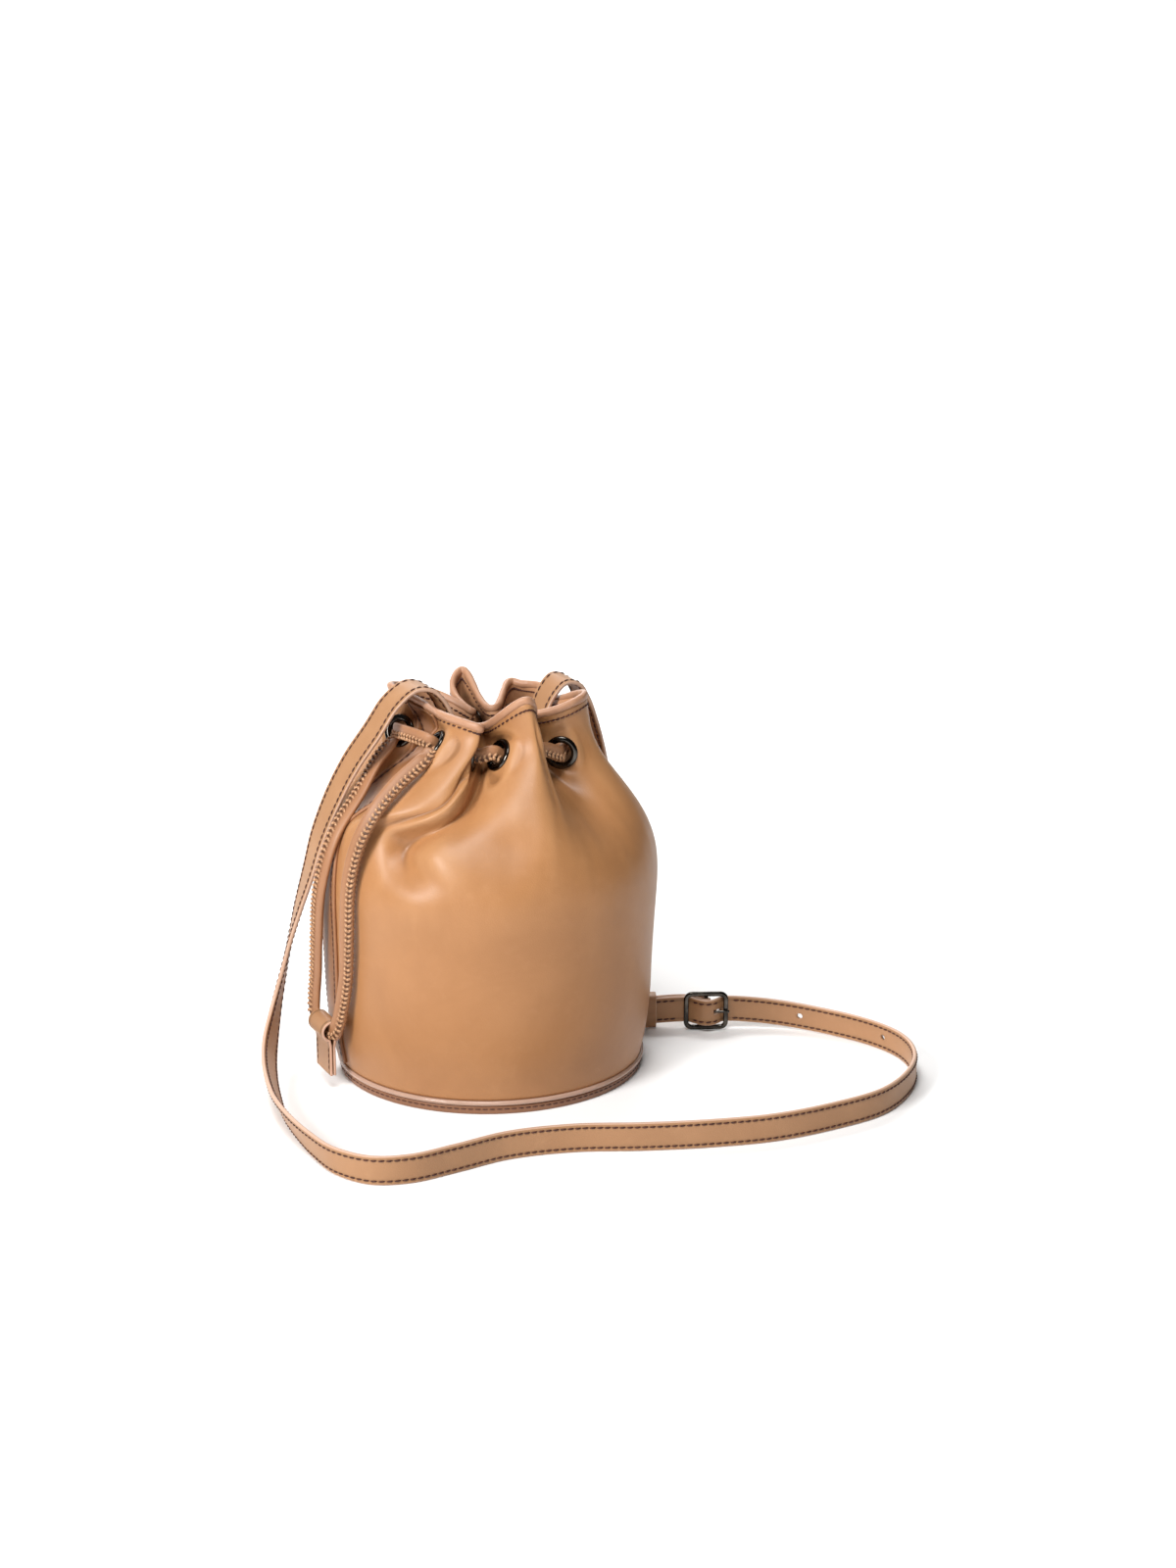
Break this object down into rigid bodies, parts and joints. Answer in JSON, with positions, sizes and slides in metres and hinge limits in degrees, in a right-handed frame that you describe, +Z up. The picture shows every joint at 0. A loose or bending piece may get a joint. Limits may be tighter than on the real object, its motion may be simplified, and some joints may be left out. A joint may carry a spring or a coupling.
{
  "type": "bucket bag",
  "caption": "Leather drawstring bucket bag: round flat base, flared body gathered at the mouth by a cord through metal eyelets, with a buckled shoulder strap lying round it.",
  "frame": {"origin": "middle of the underside of the round base, where the bag stands", "axes": "+Z up through the mouth; the side seams are at -X and +X, and -Y is the side with the long front run of the strap"},
  "size_m": [0.3723, 0.2637, 0.2302],
  "materials": {
    "bag_leather": "smooth aniline tan leather, satin",
    "strap_leather": "smooth tan leather, rolled edge with stitching",
    "laced_leather": "flat leather cord, laced along one edge",
    "edge_leather": "rounded pinkish binding, semi-gloss",
    "lining_cloth": "matt woven cloth",
    "base_board": "matt pressed board",
    "dark_nickel": "polished dark nickel plate"
  },
  "bodies": {
    "bag": {"front_panel": "bag_leather", "back_panel": "bag_leather", "mouth_facing": "bag_leather", "lining": "lining_cloth", "side_strip_left": "bag_leather", "side_strip_right": "bag_leather", "rim_binding": "edge_leather", "base_panel": "bag_leather", "base_board": "base_board", "lining_base": "lining_cloth", "base_piping": "edge_leather", "eyelet_01": "dark_nickel", "eyelet_washer_01": "dark_nickel", "eyelet_02": "dark_nickel", "eyelet_washer_02": "dark_nickel", "eyelet_03": "dark_nickel", "eyelet_washer_03": "dark_nickel", "eyelet_04": "dark_nickel", "eyelet_washer_04": "dark_nickel", "eyelet_05": "dark_nickel", "eyelet_washer_05": "dark_nickel", "eyelet_06": "dark_nickel", "eyelet_washer_06": "dark_nickel", "eyelet_07": "dark_nickel", "eyelet_washer_07": "dark_nickel", "eyelet_08": "dark_nickel", "eyelet_washer_08": "dark_nickel", "eyelet_09": "dark_nickel", "eyelet_washer_09": "dark_nickel", "eyelet_10": "dark_nickel", "eyelet_washer_10": "dark_nickel", "eyelet_11": "dark_nickel", "eyelet_washer_11": "dark_nickel", "eyelet_12": "dark_nickel", "eyelet_washer_12": "dark_nickel", "drawstring": "laced_leather", "strap_long": "strap_leather", "strap_short": "strap_leather"},
    "pull_loop": {"pull_cord": "laced_leather"},
    "tab": {"pull_tab": "strap_leather"},
    "buckle": {"buckle_frame": "dark_nickel"},
    "prong": {"buckle_prong": "dark_nickel"},
    "keeper": {"strap_keeper": "strap_leather"}
  },
  "joints": [
    {"name": "drawstring_pull", "type": "slide", "parent": "bag", "child": "pull_loop", "axis": [-0.0896, -0.01, 0.9959], "range_m": [0, 0.05], "deforming": ["pull_cord"]},
    {"name": "tab_swing", "type": "hinge", "parent": "pull_loop", "child": "tab", "pos_m": [-0.0998, -0.016, 0.035], "axis": [-0.1822, 0.9833, 0], "range_deg": [0, 70]},
    {"name": "buckle_pivot", "type": "hinge", "parent": "bag", "child": "buckle", "pos_m": [0.136, 0.012, 0.0124], "axis": [0, 0, 1], "range_deg": [-2, 1]},
    {"name": "prong_pivot", "type": "hinge", "parent": "buckle", "child": "prong", "pos_m": [0.136, 0.012, 0.0124], "axis": [0, 0, -1], "range_deg": [0, 4]},
    {"name": "keeper_slide", "type": "slide", "parent": "bag", "child": "keeper", "axis": [0.9755, -0.2199, 0], "range_m": [0, 0.003]}
  ]
}
